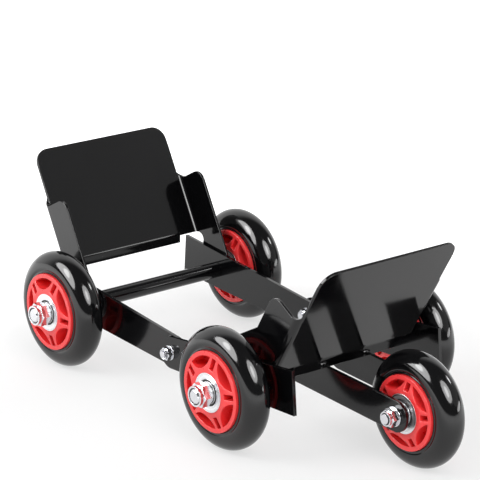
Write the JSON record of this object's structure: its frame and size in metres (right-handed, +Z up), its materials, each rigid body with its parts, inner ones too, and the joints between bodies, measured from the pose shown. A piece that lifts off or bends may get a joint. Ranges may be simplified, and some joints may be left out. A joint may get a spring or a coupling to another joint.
{
  "type": "motorcycle mover dolly",
  "caption": "Low hinged dolly that cradles a motorcycle tyre between leaning steel plates and rolls it on small hard wheels, with a pivoting fork and wheel ahead of the front plate.",
  "frame": {"origin": "on the floor, at the centre of the part's outline seen from above", "axes": "+X towards the single front wheel, +Y to the left, +Z up"},
  "size_m": [0.4702, 0.255, 0.165],
  "materials": {
    "black_paint": "gloss black powder coat on steel",
    "zinc": "bright zinc plate on steel",
    "bearing_steel": "ground bearing steel",
    "tyre": "glossy cast polyurethane",
    "hub": "glossy moulded nylon"
  },
  "bodies": {
    "front_frame": {"front_arm_left": "black_paint", "front_arm_right": "black_paint", "mid_axle_bearing_inner_rings": "bearing_steel", "mid_axle_bearing_sleeves": "zinc", "mid_axle_nuts": "zinc", "mid_axle_rod": "zinc", "mid_axle_spacers": "zinc", "mid_axle_tube": "black_paint", "mid_axle_washers": "zinc"},
    "rear_frame": {"hinge_bolts": "zinc", "hinge_nut_washers": "zinc", "hinge_nuts": "zinc", "hinge_washers": "zinc", "rear_arm_left": "black_paint", "rear_arm_right": "black_paint", "rear_axle_bearing_inner_rings": "bearing_steel", "rear_axle_bearing_sleeves": "zinc", "rear_axle_nuts": "zinc", "rear_axle_rod": "zinc", "rear_axle_spacers": "zinc", "rear_axle_tube": "black_paint", "rear_axle_washers": "zinc", "rear_cradle_plate": "black_paint"},
    "front_fork": {"fork_bar_left": "black_paint", "fork_bar_right": "black_paint", "front_axle_bearing_inner_rings": "bearing_steel", "front_axle_bolt": "zinc", "front_axle_nut": "zinc", "front_axle_sleeve": "zinc", "front_axle_spacers": "zinc", "front_axle_washers": "zinc", "front_cradle_plate": "black_paint"},
    "rear_left_wheel": {"rear_left_bearing_balls": "bearing_steel", "rear_left_bearing_shells": "bearing_steel", "rear_left_hub": "hub", "rear_left_tyre": "tyre"},
    "rear_right_wheel": {"rear_right_bearing_balls": "bearing_steel", "rear_right_bearing_shells": "bearing_steel", "rear_right_hub": "hub", "rear_right_tyre": "tyre"},
    "mid_left_wheel": {"mid_left_bearing_balls": "bearing_steel", "mid_left_bearing_shells": "bearing_steel", "mid_left_hub": "hub", "mid_left_tyre": "tyre"},
    "mid_right_wheel": {"mid_right_bearing_balls": "bearing_steel", "mid_right_bearing_shells": "bearing_steel", "mid_right_hub": "hub", "mid_right_tyre": "tyre"},
    "front_wheel": {"front_bearing_balls": "bearing_steel", "front_bearing_shells": "bearing_steel", "front_hub": "hub", "front_tyre": "tyre"}
  },
  "joints": [
    {"name": "fold_hinge", "type": "hinge", "parent": "front_frame", "child": "rear_frame", "pos_m": [-0.02491, 0, 0.0448], "axis": [0, 1, 0], "range_deg": [-60, 90]},
    {"name": "fork_pivot", "type": "hinge", "parent": "front_frame", "child": "front_fork", "pos_m": [0.07109, 0, 0.05], "axis": [0, 1, 0], "range_deg": [-45, 30]},
    {"name": "rear_left_wheel_spin", "type": "hinge", "parent": "rear_frame", "child": "rear_left_wheel", "pos_m": [-0.15091, 0.0975, 0.05], "axis": [0, 1, 0], "continuous": true},
    {"name": "rear_right_wheel_spin", "type": "hinge", "parent": "rear_frame", "child": "rear_right_wheel", "pos_m": [-0.15091, -0.0975, 0.05], "axis": [0, 1, 0], "continuous": true},
    {"name": "mid_left_wheel_spin", "type": "hinge", "parent": "front_frame", "child": "mid_left_wheel", "pos_m": [0.07109, 0.0975, 0.05], "axis": [0, 1, 0], "continuous": true},
    {"name": "mid_right_wheel_spin", "type": "hinge", "parent": "front_frame", "child": "mid_right_wheel", "pos_m": [0.07109, -0.0975, 0.05], "axis": [0, 1, 0], "continuous": true},
    {"name": "front_wheel_spin", "type": "hinge", "parent": "front_fork", "child": "front_wheel", "pos_m": [0.18809, 0, 0.047], "axis": [0, 1, 0], "continuous": true}
  ]
}
